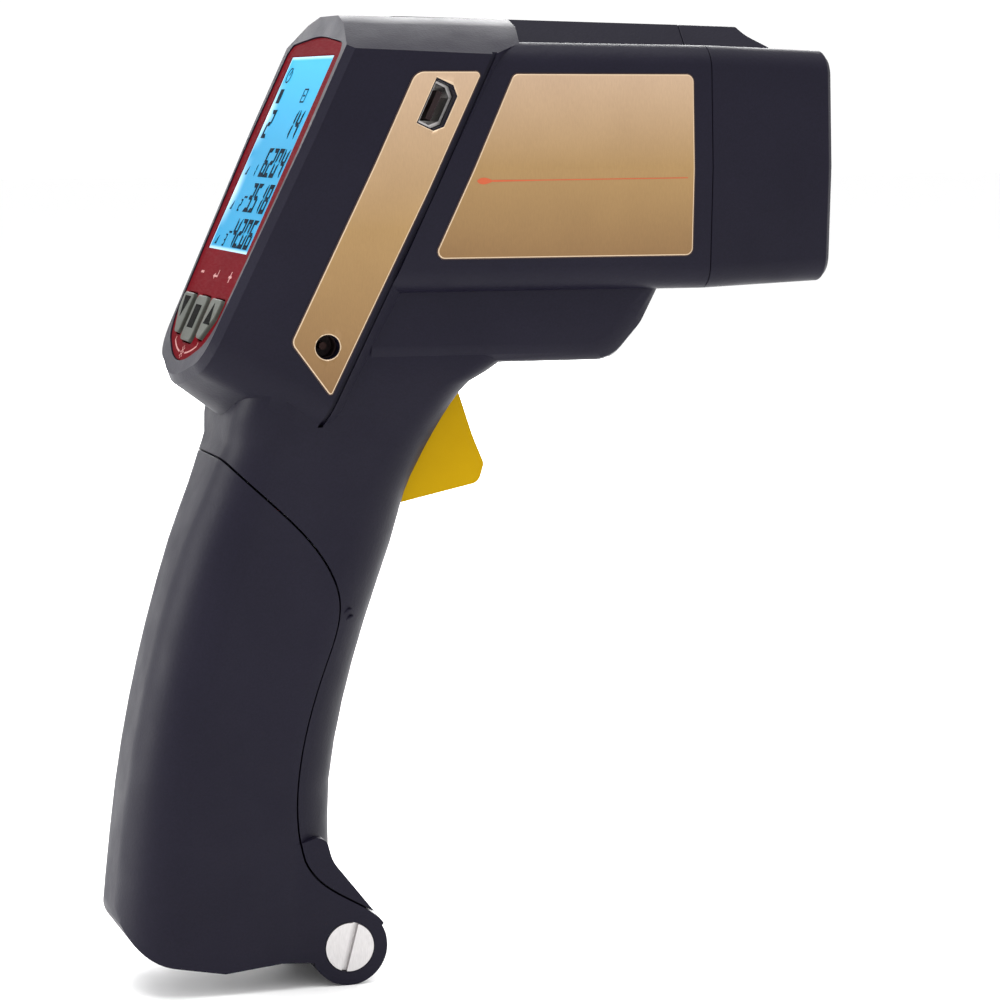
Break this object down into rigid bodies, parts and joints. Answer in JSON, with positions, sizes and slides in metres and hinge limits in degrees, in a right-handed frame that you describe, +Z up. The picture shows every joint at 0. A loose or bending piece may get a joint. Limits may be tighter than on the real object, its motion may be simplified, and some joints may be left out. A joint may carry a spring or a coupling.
{
  "type": "handheld color analyzer",
  "caption": "Pistol-grip color analyzer with a tilted display head, keypad, trigger, hinged battery cover and pull-off front cap over its light port.",
  "frame": {"origin": "middle of the bounding box in plan, at the foot of the grip", "axes": "+X out of the front cap, +Y to the holder's left, +Z up from the grip to the display head"},
  "size_m": [0.1264, 0.0462, 0.1674],
  "materials": {
    "case_dark": "fine texture, dark blue grey",
    "tile_white": "smooth white calibration tile",
    "trigger_yellow": "satin yellow",
    "steel": "plain bright metal",
    "part_black": "moulded black",
    "part_white": "moulded natural white",
    "bezel_red": "satin deep red",
    "window_clear": "clear window",
    "key_grey": "warm grey moulded key",
    "mat_rubber": "soft dark rubber",
    "display_blue": "light blue liquid crystal display",
    "board_green": "solder mask over glass laminate",
    "lamp_clear": "clear lamp epoxy",
    "battery_shell": "plain wrapped steel can",
    "pad_foam": "foam strip",
    "lead_red": "red insulation",
    "lead_black": "black insulation",
    "label_gold": "gold foil label"
  },
  "bodies": {
    "case": {"right_housing": "case_dark", "left_housing": "case_dark", "trigger_pin": "steel", "trigger_spring": "steel", "trigger_switch": "part_black", "bezel_plate": "bezel_red", "display_window": "window_clear", "key_mat": "mat_rubber", "lcd_glass": "display_blue", "lcd_frame": "part_black", "backlight": "part_white", "contact_strips": "mat_rubber", "display_board": "board_green", "board_screws": "steel", "main_board": "board_green", "usb_shell": "steel", "usb_tongue": "part_black", "dc_socket": "part_black", "dc_pin": "steel", "board_chips": "part_black", "buzzer": "part_black", "ribbon_cable": "part_white", "nose": "part_black", "nose_window": "window_clear", "optics_tube": "part_black", "collecting_lens": "window_clear", "lamp_board": "board_green", "lamps": "lamp_clear", "sensor_board": "board_green", "colour_sensor": "part_black", "battery": "battery_shell", "battery_terminals": "steel", "battery_snap": "part_black", "battery_tray": "part_black", "battery_lead_red": "lead_red", "battery_lead_black": "lead_black", "hinge_screw": "steel", "hinge_nut": "steel", "housing_screws": "steel", "right_strip_label": "label_gold", "left_strip_label": "label_gold", "right_barrel_label": "label_gold", "left_barrel_label": "label_gold"},
    "trigger": {"trigger": "trigger_yellow"},
    "plunger": {"switch_plunger": "part_white"},
    "key_down_body": {"key_down": "key_grey"},
    "key_centre_body": {"key_centre": "key_grey"},
    "key_up_body": {"key_up": "key_grey"},
    "cover": {"battery_cover": "case_dark", "battery_pad": "pad_foam"},
    "cap": {"front_cap": "case_dark", "white_tile": "tile_white"}
  },
  "joints": [
    {"name": "trigger_pull", "type": "hinge", "parent": "case", "child": "trigger", "pos_m": [-0.0085, 0, 0.1056], "axis": [0, 1, 0], "range_deg": [0, 8], "stiffness_Nm_per_rad": 0.25, "springref_deg": -8.59, "deforming": ["trigger_spring"]},
    {"name": "plunger_press", "type": "slide", "parent": "case", "child": "plunger", "axis": [-1, 0, 0], "range_m": [0, 0.0019]},
    {"name": "key_down_press", "type": "slide", "parent": "case", "child": "key_down_body", "axis": [0.9063, 0, -0.4226], "range_m": [0, 0.0008], "stiffness_N_per_m": 900, "springref_m": -0.0003},
    {"name": "key_centre_press", "type": "slide", "parent": "case", "child": "key_centre_body", "axis": [0.9063, 0, -0.4226], "range_m": [0, 0.0008], "stiffness_N_per_m": 900, "springref_m": -0.0003},
    {"name": "key_up_press", "type": "slide", "parent": "case", "child": "key_up_body", "axis": [0.9063, 0, -0.4226], "range_m": [0, 0.0008], "stiffness_N_per_m": 900, "springref_m": -0.0003},
    {"name": "cover_open", "type": "hinge", "parent": "case", "child": "cover", "pos_m": [-0.0234, 0, 0.0068], "axis": [0, -1, 0], "range_deg": [0, 75]},
    {"name": "cap_pull", "type": "slide", "parent": "case", "child": "cap", "axis": [1, 0, 0], "range_m": [0, 0.025]}
  ],
  "couplings": [
    {"joint": "plunger_press", "follows": "trigger_pull", "m_per_rad": 0.0132}
  ]
}
